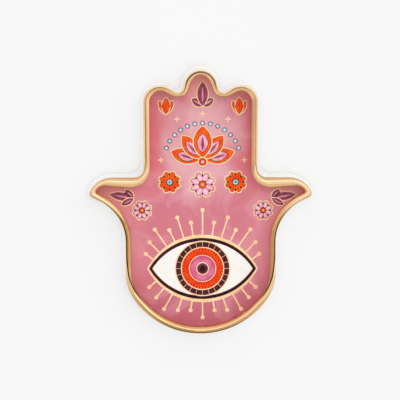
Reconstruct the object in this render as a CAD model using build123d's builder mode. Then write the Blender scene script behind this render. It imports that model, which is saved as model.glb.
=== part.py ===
from build123d import *
from math import acos, atan2, cos, hypot, pi, radians, sin, sqrt
import os

# Glazed porcelain trinket dish in the shape of a hamsa hand, lying on its foot, fingers towards +Y.
# The origin is the middle of the foot. Lengths are in millimetres, turns in degrees.

# Heights of the casting
DISH_H = 16.0
FLOOR_Z = 5.5
GOLD_EDGE_Z = 13.3
WALL_TOP_Z = 13.7
FOOT_ROUND = 0.9
FOOT_RECESS = 1.3

# Edge of the rim, seen from above: round finger tips, hooked thumbs and a full palm
RIM_LENGTH = 132.6
FINGERS_W = 57.7
FINGERTIP_R = 8.65
FINGER_DROP = 7.85
VALLEY_R = 2.8
SIDE_LEAN = 0.35
CROOK_R = 4.5
THUMB_TOP_Y = 12.15
THUMB_SPAN = 111.2
THUMB_R = 12.15
THUMB_TIP_R = 2.45
THUMB_TIP_TURN = 25.0
UNDER_R = 23.0
PALM_R = 41.0
HIP_R = 25.0
HIP_TURN = 37.0
LINK = 0.15

# How far the foot flares out past the rim
FLARE = 1.6
SIDE_FLARE = 0.85
BASE_CROOK_R = 6.5

# How far the edge of the floor lies inside the rim
FINGER_IN = 3.35
VALLEY_IN = 2.8
SIDE_IN = 3.2
THUMB_ROOT_IN = 5.45
TIP_IN = 3.3
UNDER_IN = 3.0
PALM_IN = 3.45
WELL_CROOK_R = 10.0
WELL_THUMB_R = 6.0
WELL_TIP_R = 1.15
WELL_TIP_TURN = 47.0
WELL_HIP_R = 20.0
WELL_HIP_TURN = 33.5

# Where the rounded crest starts and ends, as shares of the way from the rim's edge to the floor's edge,
# and where the foot's ring ends, as a share of the way from the foot's edge to the floor's edge
CREST_OUT_SHARE = 0.36
CREST_IN_SHARE = 0.50
WALL_TOP_SHARE = 0.84
FOOT_RING_SHARE = 0.92
CREST_STEPS = 2

# Fired layers: the gold on the rim, the ground on the floor and the motifs on the ground
GOLD_T = 0.2
GROUND_T = 0.15
MOTIF_T = 0.15
GROUND_GAP = 0.05
INK_GAP = 0.04

# The whole print lies this far to the right of the middle
PRINT_X = 1.2

# Straight sides of the round motifs, and straight steps along one side of a leaf and of the eye
IRIS_SIDES = 28
DOT_SIDES = 8
PETAL_SIDES = 6
LEAF_STEPS = 4
LID_STEPS = 14

# The eye, in shares of the palm's radius, with the widths of its lines
EYE_DROP_SHARE = 0.24
EYE_LENGTH_SHARE = 0.743
EYE_RISE_SHARE = 0.454
EYE_GOLD_W = 1.65
EYE_GOLD_TIP = 1.0
EYE_DARK_W = 1.3
EYE_DARK_TIP = 1.5
IRIS_GAP = 0.1

# The iris from its edge to the pupil, in shares of its radius
IRIS_EDGE_SHARE = 0.043
IRIS_DARK_SHARE = 0.179
IRIS_BAND_SHARE = 0.036
IRIS_ORANGE_SHARE = 0.253
IRIS_LINE_SHARE = 0.025
IRIS_PINK_SHARE = 0.235
PUPIL_RIM_SHARE = 0.033

# Rays round the eye, each with a dot at its end: the longest of them as a share of the room above or below
RAY_W = 0.75
RAY_DOT_R = 1.05
RAY_UP_SHARE = 0.518
RAY_UP_TURN = 8.8
RAY_UP_SHARES = (1.0, 0.52, 0.85, 0.5, 0.82, 0.56, 0.36)
RAY_DOWN_SHARE = 0.73
RAY_DOWN_TURN = 9.7
RAY_DOWN_SHARES = (0.9, 0.54, 0.72, 1.0, 0.68, 0.52)

# The upper field, between the rays and the finger tips: places across in shares of its half width,
# places along in shares of its height, sizes in shares of its smaller half side
LOTUS_Y_SHARE = 0.433
LOTUS_ROOT_SHARE = 0.094
LOTUS_PETAL_LENGTH_SHARE = 0.588
LOTUS_PETAL_WIDTH_SHARE = 0.298
LOTUS_PETAL_TURNS = (72, 38)
LOTUS_HEART_LENGTH_SHARE = 0.643
LOTUS_HEART_WIDTH_SHARE = 0.376
LOTUS_CUP_SHARE = 0.086
GARLAND_SHARE = 0.8
BEAD_SHARE = 0.037
BEAD_COUNT = 13
BEAD_TURN = 11.5
ROSETTE_X_SHARE = 0.682
ROSETTE_Y_SHARE = 0.243
ROSETTE_SHARE = 0.227
HEART_ROSETTE_Y_SHARE = 0.22
HEART_ROSETTE_SHARE = 0.267
STAR_SHARE = 0.067
STAR_WAIST_SHARE = 0.018
STAR_WIDE_X_SHARE = 0.525
STAR_WIDE_Y_SHARE = 0.832
STAR_SIDE_X_SHARE = 0.863
STAR_SIDE_Y_SHARE = 0.451

# A rosette: petals round a hub, in shares of its reach
ROSETTE_PETALS = 8
PETAL_SHARE = 0.275
HUB_SHARE = 0.26

# Rosettes on the shoulders of the palm: their reach in shares of the hips' half width, or of the measure of
# the leaves in the thumbs where that is small, and their place inside and below the root of those leaves, in
# shares of the reach
SHOULDER_SHARE = 0.139
SHOULDER_ROOM_SHARE = 0.214
SHOULDER_X_SHARE = 0.8726
SHOULDER_DROP_SHARE = 1.2408

# Leaves in the thumbs, each turned from +Y: their root and sizes in shares of the way from the fingers' side
# to the thumb, or of the room between the root and the wall below the thumb where that is small
SPRIG_X_SHARE = 0.413
SPRIG_DROP_SHARE = 0.03
SPRIG_LENGTH_SHARE = 0.55
SPRIG_WIDTH_SHARE = 0.187
SPRIG_ROOM_SHARE = 2.92
SPRIG_TURNS = (80, 42, 118)
SPRIG_SHARES = (1.0, 0.5, 0.56)

# Leaves in the outer fingers and the middle finger, in shares of each floor's round tip
TULIP_X_SHARE = 0.91
TULIP_DROP_SHARE = 1.25
TULIP_LENGTH_SHARE = 1.62
TULIP_WIDTH_SHARE = 0.75
TULIP_TURNS = (0, -27, 27)
TULIP_SHARES = (1.0, 0.9, 0.9)
BUD_DROP_SHARE = 1.93
BUD_LENGTH_SHARE = 2.3
BUD_WIDTH_SHARE = 1.02
BUD_TURNS = (0, -56, 56)
BUD_SHARES = (1.0, 0.54, 0.54)
LEAF_WIDTH_SHARES = (1.0, 0.72, 0.72)


def meet(x_a, y_a, reach_a, x_b, y_b, reach_b):
    """Point at two given distances from a and b, on the upper right of the line from a to b."""
    apart = hypot(x_b - x_a, y_b - y_a)
    along = (apart**2 + reach_a**2 - reach_b**2) / (2 * apart)
    aside = sqrt(max(reach_a**2 - along**2, 0))
    east, north = (x_b - x_a) / apart, (y_b - y_a) / apart
    return x_a + east * along - north * aside, y_a + north * along + east * aside


def rim_hand():
    """The rim's edge: the places and radii of the circles that the outline is wrapped round."""
    dome_y = RIM_LENGTH / 2 - FINGERTIP_R
    finger_x = FINGERS_W / 2 - FINGERTIP_R
    finger_y = dome_y - FINGER_DROP
    apart = hypot(finger_x, FINGER_DROP)
    valley_r = max(VALLEY_R, apart / 2 - FINGERTIP_R)
    reach = FINGERTIP_R + valley_r + LINK
    valley_x, valley_y = meet(0, dome_y, reach, finger_x, finger_y, reach)
    crook_x = FINGERS_W / 2 - SIDE_LEAN + CROOK_R
    crook_y = THUMB_TOP_Y + CROOK_R
    thumb_y = THUMB_TOP_Y - THUMB_R
    hook = THUMB_R - THUMB_TIP_R
    tip_x = THUMB_SPAN / 2 - THUMB_TIP_R
    tip_y = thumb_y + hook * sin(radians(THUMB_TIP_TURN))
    thumb_x = tip_x - hook * cos(radians(THUMB_TIP_TURN))
    palm_y = PALM_R - RIM_LENGTH / 2
    hip_edge = (PALM_R - HIP_R) * cos(radians(HIP_TURN)) + HIP_R
    under_x = hip_edge + UNDER_R
    under_y = tip_y - sqrt((THUMB_TIP_R + UNDER_R + LINK) ** 2 - (under_x - tip_x) ** 2)
    return [
        dome_y, FINGERTIP_R, valley_x, valley_y, valley_r, finger_x, finger_y, FINGERTIP_R,
        crook_x, crook_y, CROOK_R, thumb_x, thumb_y, THUMB_R, THUMB_TIP_R, THUMB_TIP_TURN,
        under_x, under_y, UNDER_R, palm_y, PALM_R, HIP_R, HIP_TURN,
    ]


def foot_hand():
    """The widest outline, just above the foot."""
    (dome_y, tip_r, valley_x, valley_y, valley_r, finger_x, finger_y, finger_r,
     crook_x, crook_y, crook_r, thumb_x, thumb_y, thumb_r, end_r, end_turn,
     under_x, under_y, under_r, palm_y, palm_r, hip_r, hip_turn) = rim_hand()
    side = FINGERS_W / 2 + SIDE_FLARE
    return [
        dome_y, tip_r + FLARE, valley_x, valley_y, valley_r - FLARE, side - finger_r - FLARE / 2, finger_y,
        finger_r + FLARE / 2, side + BASE_CROOK_R, THUMB_TOP_Y + FLARE + BASE_CROOK_R, BASE_CROOK_R,
        thumb_x, thumb_y, thumb_r + FLARE, end_r + FLARE, end_turn,
        under_x, under_y, under_r - FLARE, palm_y, palm_r + FLARE, hip_r + FLARE, hip_turn,
    ]


def floor_hand():
    """The edge of the floor, where the inner wall meets it."""
    (dome_y, tip_r, valley_x, valley_y, valley_r, finger_x, finger_y, finger_r,
     crook_x, crook_y, crook_r, thumb_x, thumb_y, thumb_r, end_r, end_turn,
     under_x, under_y, under_r, palm_y, palm_r, hip_r, hip_turn) = rim_hand()
    side = FINGERS_W / 2 - SIDE_LEAN - SIDE_IN
    tip_x = THUMB_SPAN / 2 - TIP_IN - WELL_TIP_R
    tip_y = under_y + sqrt((under_r + UNDER_IN + WELL_TIP_R + LINK) ** 2 - (under_x - tip_x) ** 2)
    hook = WELL_THUMB_R - WELL_TIP_R
    thumb_x = tip_x - hook * cos(radians(WELL_TIP_TURN))
    thumb_y = tip_y - hook * sin(radians(WELL_TIP_TURN))
    return [
        dome_y, tip_r - FINGER_IN, valley_x, valley_y, valley_r + VALLEY_IN, finger_x, finger_y,
        finger_r - FINGER_IN, side + WELL_CROOK_R, THUMB_TOP_Y - THUMB_ROOT_IN + WELL_CROOK_R, WELL_CROOK_R,
        thumb_x, thumb_y, WELL_THUMB_R, WELL_TIP_R, WELL_TIP_TURN,
        under_x, under_y, under_r + UNDER_IN, palm_y, palm_r - PALM_IN, WELL_HIP_R, WELL_HIP_TURN,
    ]


def between(hand_a, hand_b, share):
    """The outline a share of the way from one hand to another."""
    return [a + (b - a) * share for a, b in zip(hand_a, hand_b)]


def circles(hand, grow):
    """Centres, radii and sides (1 round the outside, -1 round the inside) of the whole outline."""
    (dome_y, dome_r, valley_x, valley_y, valley_r, finger_x, finger_y, finger_r,
     crook_x, crook_y, crook_r, thumb_x, thumb_y, thumb_r, end_r, end_turn,
     under_x, under_y, under_r, palm_y, palm_r, hip_r, hip_turn) = hand
    hook = thumb_r - end_r
    swell = palm_r - hip_r
    end_x = thumb_x + hook * cos(radians(end_turn))
    end_y = thumb_y + hook * sin(radians(end_turn))
    hip_x = swell * cos(radians(hip_turn))
    hip_y = palm_y - swell * sin(radians(hip_turn))
    right = [
        (valley_x, valley_y, valley_r - grow, -1),
        (finger_x, finger_y, finger_r + grow, 1),
        (crook_x, crook_y, crook_r - grow, -1),
        (thumb_x, thumb_y, thumb_r + grow, 1),
        (end_x, end_y, end_r + grow, 1),
        (under_x, under_y, under_r - grow, -1),
        (hip_x, hip_y, hip_r + grow, 1),
    ]
    left = [(-x, y, r, side) for x, y, r, side in reversed(right)]
    return [(0, dome_y, dome_r + grow, 1), *right, (0, palm_y, palm_r + grow, 1), *left]


def contact(one, two):
    """Turns, in radians, at which the outline leaves one circle and meets the next."""
    x_a, y_a, r_a, side_a = one
    x_b, y_b, r_b, side_b = two
    heading = atan2(y_b - y_a, x_b - x_a)
    if side_a == side_b:
        turn = heading if r_a > r_b else heading + pi
        return turn, turn
    swing = acos(min((r_a + r_b) / hypot(x_b - x_a, y_b - y_a), 1))
    if side_a > 0:
        return heading + swing, heading + swing + pi
    return heading - swing, heading - swing + pi


def on_circle(circle, turn):
    x, y, r, side = circle
    return x + r * cos(turn), y + r * sin(turn)


def outline(hand, grow=0):
    """Sketches the closed hand: arcs round its circles, joined by tangent lines."""
    ring = circles(hand, grow)
    joins = [contact(one, two) for one, two in zip(ring, ring[1:] + ring[:1])]
    with BuildLine() as edge:
        for place, circle in enumerate(ring):
            arrive = joins[place - 1][1]
            leave, arrive_next = joins[place]
            sweep = (arrive - leave) % (2 * pi) if circle[3] > 0 else -((leave - arrive) % (2 * pi))
            middle = arrive - sweep / 2
            ThreePointArc(on_circle(circle, arrive), on_circle(circle, middle), on_circle(circle, leave))
            following = ring[(place + 1) % len(ring)]
            if circle[3] != following[3]:
                Line(on_circle(circle, leave), on_circle(following, arrive_next))
    make_face(edge.edges())


def layer(height, hand, grow=0):
    """The hand's outline as a face at one height."""
    with BuildSketch(Plane.XY.offset(height)) as face:
        outline(hand, grow)
    return face.sketch


def outer_crest(inset):
    """Layers up the rounded outer half of the crest; an inset fades in from the gold's edge."""
    layers = []
    for step in range(CREST_STEPS + 1):
        turn = pi / 2 * step / CREST_STEPS
        share = CREST_OUT_SHARE * (1 - cos(turn))
        height = GOLD_EDGE_Z + (DISH_H - inset - GOLD_EDGE_Z) * sin(turn)
        layers.append(layer(height, between(RIM, FLOOR, share), -inset * sin(turn) * cos(turn)))
    return layers


def well(inset):
    """Layers up the hollow: a steep wall from the floor's edge, then the rounded inner half of the crest."""
    layers = [layer(FLOOR_Z, FLOOR)]
    for step in range(CREST_STEPS + 1):
        turn = pi / 2 * step / CREST_STEPS
        share = WALL_TOP_SHARE + (CREST_IN_SHARE - WALL_TOP_SHARE) * (1 - cos(turn))
        height = WALL_TOP_Z + (DISH_H - inset - WALL_TOP_Z) * sin(turn)
        layers.append(layer(height, between(RIM, FLOOR, share), inset * cos(turn)))
    return layers


RIM = rim_hand()
FOOT = foot_hand()
FLOOR = floor_hand()
os.makedirs("parts", exist_ok=True)

# Porcelain casting: flared wall, rounded crest, well and recessed foot
with BuildPart() as porcelain_dish:
    foot_layers = [layer(0, FOOT, -FOOT_ROUND / 2), layer(FOOT_ROUND, FOOT)]
    loft([*foot_layers, *outer_crest(GOLD_T)], ruled=True)
    loft(well(GOLD_T), ruled=True, mode=Mode.SUBTRACT)
    extrude(layer(0, between(FOOT, FLOOR, FOOT_RING_SHARE)), amount=FOOT_RECESS, mode=Mode.SUBTRACT)
porcelain_dish.part.label = "porcelain_dish"
export_step(porcelain_dish.part, "parts/porcelain_dish.step")

# Gold on the rim: a thin skin over the crest and down the inner wall, fading out at both its edges
with BuildPart() as gold_rim:
    loft(outer_crest(0), ruled=True)
    loft(outer_crest(GOLD_T), ruled=True, mode=Mode.SUBTRACT)
    loft(well(GOLD_T), ruled=True)
    loft(well(0), ruled=True, mode=Mode.SUBTRACT)
gold_rim.part.label = "gold_rim"
export_step(gold_rim.part, "parts/gold_rim.step")

# Rose ground of the print, over the whole floor inside the gold
with BuildPart() as rose_ground:
    extrude(layer(FLOOR_Z, FLOOR, -GROUND_GAP), amount=GROUND_T)
rose_ground.part.label = "rose_ground"
export_step(rose_ground.part, "parts/rose_ground.step")

# Fields of the print, from the circles of the floor's edge: each circle's place across, along, radius
MIDDLE, VALLEY, FINGER, CROOK, THUMB, THUMB_END, UNDER, HIP, PALM = circles(FLOOR, 0)[:9]
INK = Plane.XY.offset(FLOOR_Z + GROUND_T)
EYE_Y = PALM[1] - EYE_DROP_SHARE * PALM[2]
EYE_HALF_L = EYE_LENGTH_SHARE * PALM[2]
EYE_RISE = EYE_RISE_SHARE * PALM[2]
DARK_HALF_L = EYE_HALF_L - EYE_GOLD_TIP
DARK_RISE = EYE_RISE - EYE_GOLD_W
WHITE_HALF_L = DARK_HALF_L - EYE_DARK_TIP
WHITE_RISE = DARK_RISE - EYE_DARK_W
IRIS_R = WHITE_RISE - IRIS_GAP


def lid(half_l, rise, up):
    """Points along one lid of the eye, an arc from tip to tip in straight steps; up is 1 or -1."""
    arc_r = (half_l**2 + rise**2) / (2 * rise)
    reach = atan2(half_l, arc_r - rise)
    points = []
    for step in range(LID_STEPS):
        turn = reach * (1 - 2 * step / LID_STEPS)
        points.append((PRINT_X + up * arc_r * sin(turn), EYE_Y + up * (rise - arc_r + arc_r * cos(turn))))
    return points


def almond(half_l, rise, mode=Mode.ADD):
    """The eye's outline: an upper and a lower lid between two tips."""
    with BuildLine() as edge:
        Polyline(*lid(half_l, rise, 1), *lid(half_l, rise, -1), close=True)
    make_face(edge.edges(), mode=mode)


# The eye's border, lid line and white
with BuildPart() as eye_gold_border:
    with BuildSketch(INK):
        almond(EYE_HALF_L, EYE_RISE)
        almond(DARK_HALF_L + INK_GAP, DARK_RISE + INK_GAP, Mode.SUBTRACT)
    extrude(amount=MOTIF_T)
eye_gold_border.part.label = "eye_gold_border"
export_step(eye_gold_border.part, "parts/eye_gold_border.step")

with BuildPart() as eye_lid_line:
    with BuildSketch(INK):
        almond(DARK_HALF_L, DARK_RISE)
        almond(WHITE_HALF_L + INK_GAP, WHITE_RISE + INK_GAP, Mode.SUBTRACT)
    extrude(amount=MOTIF_T)
eye_lid_line.part.label = "eye_lid_line"
export_step(eye_lid_line.part, "parts/eye_lid_line.step")

with BuildPart() as eye_white:
    with BuildSketch(INK):
        almond(WHITE_HALF_L, WHITE_RISE)
        with Locations((PRINT_X, EYE_Y)):
            RegularPolygon(IRIS_R + INK_GAP, IRIS_SIDES, mode=Mode.SUBTRACT)
    extrude(amount=MOTIF_T)
eye_white.part.label = "eye_white"
export_step(eye_white.part, "parts/eye_white.step")

# The iris: rings one inside the other, down to the pupil
IRIS_RINGS = (
    ("iris_gold_edge", IRIS_EDGE_SHARE),
    ("iris_dark_ring", IRIS_DARK_SHARE),
    ("iris_gold_band", IRIS_BAND_SHARE),
    ("iris_orange_ring", IRIS_ORANGE_SHARE),
    ("iris_gold_line", IRIS_LINE_SHARE),
    ("iris_pink_ring", IRIS_PINK_SHARE),
    ("pupil_gold_rim", PUPIL_RIM_SHARE),
)
ring_r = IRIS_R
for ring_name, width_share in IRIS_RINGS:
    inner_r = ring_r - width_share * IRIS_R
    with BuildPart() as iris_ring:
        with BuildSketch(INK):
            with Locations((PRINT_X, EYE_Y)):
                RegularPolygon(ring_r, IRIS_SIDES)
                RegularPolygon(inner_r + INK_GAP, IRIS_SIDES, mode=Mode.SUBTRACT)
        extrude(amount=MOTIF_T)
    iris_ring.part.label = ring_name
    export_step(iris_ring.part, f"parts/{ring_name}.step")
    ring_r = inner_r

with BuildPart() as pupil:
    with BuildSketch(INK):
        with Locations((PRINT_X, EYE_Y)):
            RegularPolygon(ring_r, IRIS_SIDES)
    extrude(amount=MOTIF_T)
pupil.part.label = "pupil"
export_step(pupil.part, "parts/pupil.step")


def rays(shares, length, step, up):
    """Rays square to the eye's border, a step apart, each ending in a dot."""
    border_r = (EYE_HALF_L**2 + EYE_RISE**2) / (2 * EYE_RISE)
    centre = (PRINT_X, EYE_Y + up * (EYE_RISE - border_r))
    for place, share in enumerate(shares):
        for side in (1, -1) if place else (1,):
            turn = up * (90 - side * place * step)
            with Locations(Location((*centre, 0), (0, 0, turn))):
                with Locations((border_r + INK_GAP + length * share / 2, 0)):
                    Rectangle(length * share, RAY_W)
                with Locations((border_r + INK_GAP + length * share, 0)):
                    RegularPolygon(RAY_DOT_R, DOT_SIDES)


RAY_UP_L = RAY_UP_SHARE * (CROOK[1] - CROOK[2] - EYE_Y - EYE_RISE)
RAY_DOWN_L = RAY_DOWN_SHARE * (EYE_Y - EYE_RISE - PALM[1] + PALM[2])

with BuildPart() as rays_upper:
    with BuildSketch(INK):
        rays(RAY_UP_SHARES, RAY_UP_L, RAY_UP_TURN, 1)
    extrude(amount=MOTIF_T)
rays_upper.part.label = "rays_upper"
export_step(rays_upper.part, "parts/rays_upper.step")

with BuildPart() as rays_lower:
    with BuildSketch(INK):
        rays(RAY_DOWN_SHARES, RAY_DOWN_L, RAY_DOWN_TURN, -1)
    extrude(amount=MOTIF_T)
rays_lower.part.label = "rays_lower"
export_step(rays_lower.part, "parts/rays_lower.step")

# The upper field: its half width, its height, where it starts, and the measure of its motifs
FIELD_W = FINGER[0] + FINGER[2] - PRINT_X
FIELD_Y = EYE_Y + EYE_RISE + RAY_UP_L + RAY_DOT_R
FIELD_H = FINGER[1] - FIELD_Y
FIELD = min(FIELD_W, FIELD_H / 2)
LOTUS_Y = FIELD_Y + LOTUS_Y_SHARE * FIELD_H
LOTUS_ROOT = LOTUS_ROOT_SHARE * FIELD
BUD_Y = MIDDLE[1] - BUD_DROP_SHARE * MIDDLE[2]


def side_points(start, end, belly):
    """Points of a leaf's round side, on the left of the way from start to end, without the end."""
    along_x, along_y = end[0] - start[0], end[1] - start[1]
    length = hypot(along_x, along_y)
    points = []
    for step in range(LEAF_STEPS):
        share = step / LEAF_STEPS
        swell = belly * sin(pi * share) / length
        x, y = start[0] + along_x * share, start[1] + along_y * share
        points.append((x - along_y * swell, y + along_x * swell))
    return points


def leaf(x, y, turn, length, width, grow=0, mode=Mode.ADD):
    """A leaf or petal with two round sides, from its root towards a turn from +Y."""
    east, north = sin(radians(turn)), cos(radians(turn))
    root = (x - grow * east, y - grow * north)
    tip = (x + (length + grow) * east, y + (length + grow) * north)
    belly = width / 2 + grow
    with BuildLine() as edge:
        Polyline(*side_points(root, tip, belly), *side_points(tip, root, belly), close=True)
    make_face(edge.edges(), mode=mode)


# The lotus: side petals, the heart petal in front of them and the cup at its root
HEART = (PRINT_X, LOTUS_Y + LOTUS_ROOT, 0, LOTUS_HEART_LENGTH_SHARE * FIELD, LOTUS_HEART_WIDTH_SHARE * FIELD)
with BuildPart() as lotus_petals:
    with BuildSketch(INK):
        for turn in LOTUS_PETAL_TURNS:
            for side in (1, -1):
                root_x = PRINT_X + side * LOTUS_ROOT * sin(radians(turn))
                root_y = LOTUS_Y + LOTUS_ROOT * cos(radians(turn))
                petal_l, petal_w = LOTUS_PETAL_LENGTH_SHARE * FIELD, LOTUS_PETAL_WIDTH_SHARE * FIELD
                leaf(root_x, root_y, side * turn, petal_l, petal_w)
        leaf(*HEART, INK_GAP, Mode.SUBTRACT)
        with Locations((PRINT_X, LOTUS_Y)):
            RegularPolygon(LOTUS_ROOT + INK_GAP, DOT_SIDES, mode=Mode.SUBTRACT)
    extrude(amount=MOTIF_T)
lotus_petals.part.label = "lotus_petals"
export_step(lotus_petals.part, "parts/lotus_petals.step")

with BuildPart() as lotus_heart:
    with BuildSketch(INK):
        leaf(*HEART)
        with Locations((PRINT_X, LOTUS_Y)):
            RegularPolygon(LOTUS_ROOT + INK_GAP, DOT_SIDES, mode=Mode.SUBTRACT)
    extrude(amount=MOTIF_T)
lotus_heart.part.label = "lotus_heart"
export_step(lotus_heart.part, "parts/lotus_heart.step")

with BuildPart() as lotus_cup:
    with BuildSketch(INK):
        with Locations((PRINT_X, LOTUS_Y)):
            RegularPolygon(LOTUS_CUP_SHARE * FIELD, DOT_SIDES)
    extrude(amount=MOTIF_T)
lotus_cup.part.label = "lotus_cup"
export_step(lotus_cup.part, "parts/lotus_cup.step")

# Garland of beads in an arch over the lotus
GARLAND_R = GARLAND_SHARE * FIELD
BEAD_R = BEAD_SHARE * FIELD
with BuildPart() as bead_garland:
    with BuildSketch(INK):
        with Locations((PRINT_X, LOTUS_Y)):
            first = 90 - BEAD_TURN * (BEAD_COUNT - 1) / 2
            sweep = BEAD_TURN * BEAD_COUNT
            with PolarLocations(GARLAND_R, BEAD_COUNT, first, sweep):
                RegularPolygon(BEAD_R, DOT_SIDES)
    extrude(amount=MOTIF_T)
bead_garland.part.label = "bead_garland"
export_step(bead_garland.part, "parts/bead_garland.step")


# The thumbs: where their leaves start, the room there, and the measure of the leaves
SPRIG_START = CROOK[0] - CROOK[2]
SPRIG_REACH = THUMB[0] - SPRIG_START
SPRIG_X = SPRIG_START + SPRIG_X_SHARE * SPRIG_REACH
SPRIG_Y = THUMB[1] - SPRIG_DROP_SHARE * SPRIG_REACH
SPRIG_ROOM = hypot(UNDER[0] - SPRIG_X, UNDER[1] - SPRIG_Y) - UNDER[2]
SPRIG = min(SPRIG_REACH, SPRIG_ROOM_SHARE * SPRIG_ROOM)

# Rosettes, each by its place and reach: an orange pair, a pink heart and a pink pair on the shoulders
SHOULDER_R = min(SHOULDER_SHARE * (HIP[0] + HIP[2]), SHOULDER_ROOM_SHARE * SPRIG)
ORANGE_ROSETTES = []
PINK_ROSETTES = [(0, FIELD_Y + HEART_ROSETTE_Y_SHARE * FIELD_H, HEART_ROSETTE_SHARE * FIELD)]
for side in (1, -1):
    x, y = side * ROSETTE_X_SHARE * FIELD_W, FIELD_Y + ROSETTE_Y_SHARE * FIELD_H
    ORANGE_ROSETTES.append((x, y, ROSETTE_SHARE * FIELD))
    x, y = side * (SPRIG_X - SHOULDER_X_SHARE * SHOULDER_R), SPRIG_Y - SHOULDER_DROP_SHARE * SHOULDER_R
    PINK_ROSETTES.append((x, y, SHOULDER_R))


def rosette(x, y, reach):
    """A round-petalled rosette with a hole for its hub."""
    petal_r = PETAL_SHARE * reach
    with Locations((PRINT_X + x, y)):
        RegularPolygon(reach - petal_r, ROSETTE_PETALS)
        with PolarLocations(reach - petal_r, ROSETTE_PETALS):
            RegularPolygon(petal_r, PETAL_SIDES)
        RegularPolygon(HUB_SHARE * reach + INK_GAP, DOT_SIDES, mode=Mode.SUBTRACT)


with BuildPart() as rosettes_orange:
    with BuildSketch(INK):
        for place in ORANGE_ROSETTES:
            rosette(*place)
    extrude(amount=MOTIF_T)
rosettes_orange.part.label = "rosettes_orange"
export_step(rosettes_orange.part, "parts/rosettes_orange.step")

with BuildPart() as rosettes_pink:
    with BuildSketch(INK):
        for place in PINK_ROSETTES:
            rosette(*place)
    extrude(amount=MOTIF_T)
rosettes_pink.part.label = "rosettes_pink"
export_step(rosettes_pink.part, "parts/rosettes_pink.step")

with BuildPart() as rosette_hubs:
    with BuildSketch(INK):
        for x, y, reach in ORANGE_ROSETTES + PINK_ROSETTES:
            with Locations((PRINT_X + x, y)):
                RegularPolygon(HUB_SHARE * reach, DOT_SIDES)
    extrude(amount=MOTIF_T)
rosette_hubs.part.label = "rosette_hubs"
export_step(rosette_hubs.part, "parts/rosette_hubs.step")


def sprig(x, y, side, turns, length, width, shares):
    """Leaves from one root; side -1 turns the group over."""
    for turn, long, broad in zip(turns, shares, LEAF_WIDTH_SHARES):
        leaf(x, y, side * turn, length * long, width * broad)


# Leaf sprigs in the thumbs, tulips in the outer fingers and a bud in the middle finger
with BuildPart() as thumb_sprigs:
    with BuildSketch(INK):
        size = (SPRIG_LENGTH_SHARE * SPRIG, SPRIG_WIDTH_SHARE * SPRIG)
        for side in (1, -1):
            sprig(PRINT_X + side * SPRIG_X, SPRIG_Y, side, SPRIG_TURNS, *size, SPRIG_SHARES)
    extrude(amount=MOTIF_T)
thumb_sprigs.part.label = "thumb_sprigs"
export_step(thumb_sprigs.part, "parts/thumb_sprigs.step")

with BuildPart() as finger_tulips:
    with BuildSketch(INK):
        for side in (1, -1):
            x = PRINT_X + side * TULIP_X_SHARE * FINGER[0]
            y = FINGER[1] - TULIP_DROP_SHARE * FINGER[2]
            size = (TULIP_LENGTH_SHARE * FINGER[2], TULIP_WIDTH_SHARE * FINGER[2])
            sprig(x, y, side, TULIP_TURNS, *size, TULIP_SHARES)
    extrude(amount=MOTIF_T)
finger_tulips.part.label = "finger_tulips"
export_step(finger_tulips.part, "parts/finger_tulips.step")

with BuildPart() as finger_bud:
    with BuildSketch(INK):
        size = (BUD_LENGTH_SHARE * MIDDLE[2], BUD_WIDTH_SHARE * MIDDLE[2])
        sprig(PRINT_X, BUD_Y, 1, BUD_TURNS, *size, BUD_SHARES)
    extrude(amount=MOTIF_T)
finger_bud.part.label = "finger_bud"
export_step(finger_bud.part, "parts/finger_bud.step")

# Small gold stars in the gaps of the field, the top one between the garland and the bud
STAR_L = STAR_SHARE * FIELD
STAR_WAIST = STAR_WAIST_SHARE * FIELD
STAR_PLACES = [(PRINT_X, (LOTUS_Y + GARLAND_R + BEAD_R + BUD_Y) / 2)]
for side in (1, -1):
    for x_share, y_share in ((STAR_WIDE_X_SHARE, STAR_WIDE_Y_SHARE), (STAR_SIDE_X_SHARE, STAR_SIDE_Y_SHARE)):
        STAR_PLACES.append((PRINT_X + side * x_share * FIELD_W, FIELD_Y + y_share * FIELD_H))
with BuildPart() as gold_stars:
    with BuildSketch(INK):
        with BuildLine() as star:
            Polyline(
                (STAR_L, 0), (STAR_WAIST, STAR_WAIST), (0, STAR_L), (-STAR_WAIST, STAR_WAIST),
                (-STAR_L, 0), (-STAR_WAIST, -STAR_WAIST), (0, -STAR_L), (STAR_WAIST, -STAR_WAIST),
                close=True,
            )
        shape = make_face(star.edges(), mode=Mode.PRIVATE)
        with Locations(*STAR_PLACES):
            add(shape)
    extrude(amount=MOTIF_T)
gold_stars.part.label = "gold_stars"
export_step(gold_stars.part, "parts/gold_stars.step")
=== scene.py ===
from collections import namedtuple
from math import acos, atan2, cos, hypot, pi, radians, sin, sqrt

import bmesh
import bpy
from mathutils import Matrix, Vector


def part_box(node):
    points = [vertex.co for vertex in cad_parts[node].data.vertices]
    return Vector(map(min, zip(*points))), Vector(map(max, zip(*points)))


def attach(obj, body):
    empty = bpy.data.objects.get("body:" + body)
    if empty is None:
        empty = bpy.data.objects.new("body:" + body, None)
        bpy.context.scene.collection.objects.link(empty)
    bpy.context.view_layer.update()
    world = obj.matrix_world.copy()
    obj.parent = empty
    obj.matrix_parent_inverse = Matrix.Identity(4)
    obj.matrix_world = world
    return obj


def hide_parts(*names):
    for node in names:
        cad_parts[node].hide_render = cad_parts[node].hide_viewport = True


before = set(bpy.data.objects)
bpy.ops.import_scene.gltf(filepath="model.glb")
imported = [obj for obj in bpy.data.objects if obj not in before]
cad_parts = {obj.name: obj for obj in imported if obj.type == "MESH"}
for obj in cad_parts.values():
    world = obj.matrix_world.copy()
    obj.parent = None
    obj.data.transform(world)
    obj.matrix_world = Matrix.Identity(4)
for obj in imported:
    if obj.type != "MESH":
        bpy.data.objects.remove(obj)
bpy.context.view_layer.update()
MM = 0.001
scene = bpy.context.scene


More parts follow.
